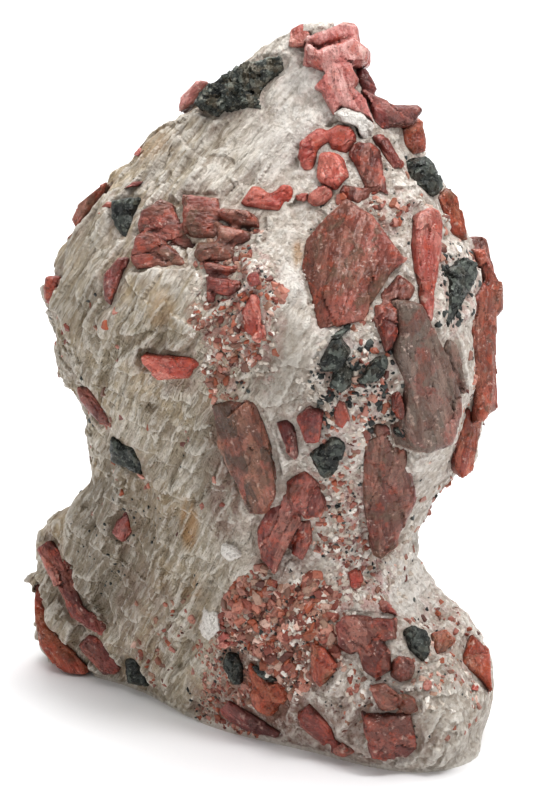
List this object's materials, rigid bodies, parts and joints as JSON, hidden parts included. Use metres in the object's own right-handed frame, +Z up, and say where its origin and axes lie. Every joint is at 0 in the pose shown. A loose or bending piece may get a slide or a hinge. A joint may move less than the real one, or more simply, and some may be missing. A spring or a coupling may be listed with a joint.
{
  "type": "rough rhodonite specimen",
  "caption": "Free-standing rough mineral block: pink and red rhodonite crystals and black franklinite grains in broken grey and white calcite, standing on its flat foot.",
  "frame": {"origin": "under the middle of the stone's bounding box, on the surface that it stands on", "axes": "+Z up; +X to the right and +Y away from the viewer as seen from the stone's front"},
  "size_m": [0.098, 0.08, 0.1424],
  "materials": {
    "calcite": "coarse cleavage breaks, grey-beige to white, dull to glassy",
    "rhodonite": "salmon pink to brick red crystal faces, dull and partly altered to brown",
    "franklinite": "black grains with a semi-metallic shine"
  },
  "bodies": {
    "root": {"calcite_matrix": "calcite", "franklinite_back": "franklinite", "franklinite_centre": "franklinite", "franklinite_left_brow": "franklinite", "franklinite_left_neck": "franklinite", "franklinite_low": "franklinite", "franklinite_pair_left": "franklinite", "franklinite_pair_right": "franklinite", "franklinite_right": "franklinite", "franklinite_right_low": "franklinite", "franklinite_shoulder": "franklinite", "franklinite_toe": "franklinite", "franklinite_top": "franklinite", "rhodonite_back_blade": "rhodonite", "rhodonite_back_group": "rhodonite", "rhodonite_brick": "rhodonite", "rhodonite_brow": "rhodonite", "rhodonite_column": "rhodonite", "rhodonite_crown": "rhodonite", "rhodonite_crown_corner": "rhodonite", "rhodonite_crown_shoulder": "rhodonite", "rhodonite_finger_long": "rhodonite", "rhodonite_finger_right": "rhodonite", "rhodonite_finger_slim": "rhodonite", "rhodonite_finger_stub": "rhodonite", "rhodonite_fingers": "rhodonite", "rhodonite_flame": "rhodonite", "rhodonite_foot_dark_prism": "rhodonite", "rhodonite_foot_drop": "rhodonite", "rhodonite_foot_left_wedge": "rhodonite", "rhodonite_foot_mid_prism": "rhodonite", "rhodonite_foot_right_wedge": "rhodonite", "rhodonite_fork": "rhodonite", "rhodonite_knob": "rhodonite", "rhodonite_left_brow": "rhodonite", "rhodonite_left_drop": "rhodonite", "rhodonite_left_low": "rhodonite", "rhodonite_left_rim": "rhodonite", "rhodonite_long_blade": "rhodonite", "rhodonite_maroon": "rhodonite", "rhodonite_neck_chip": "rhodonite", "rhodonite_orange_wedge": "rhodonite", "rhodonite_oval": "rhodonite", "rhodonite_prism": "rhodonite", "rhodonite_purple_finger": "rhodonite", "rhodonite_red_wedge": "rhodonite", "rhodonite_right_rim": "rhodonite", "rhodonite_right_shoulder": "rhodonite", "rhodonite_shield": "rhodonite", "rhodonite_side_group": "rhodonite", "rhodonite_slab": "rhodonite", "rhodonite_spindle": "rhodonite", "rhodonite_square": "rhodonite", "rhodonite_tablets": "rhodonite", "rhodonite_tail": "rhodonite", "rhodonite_toe_band": "rhodonite", "rhodonite_toe_edge": "rhodonite", "rhodonite_toe_tip": "rhodonite", "rhodonite_top_nub": "rhodonite"}
  },
  "joints": []
}
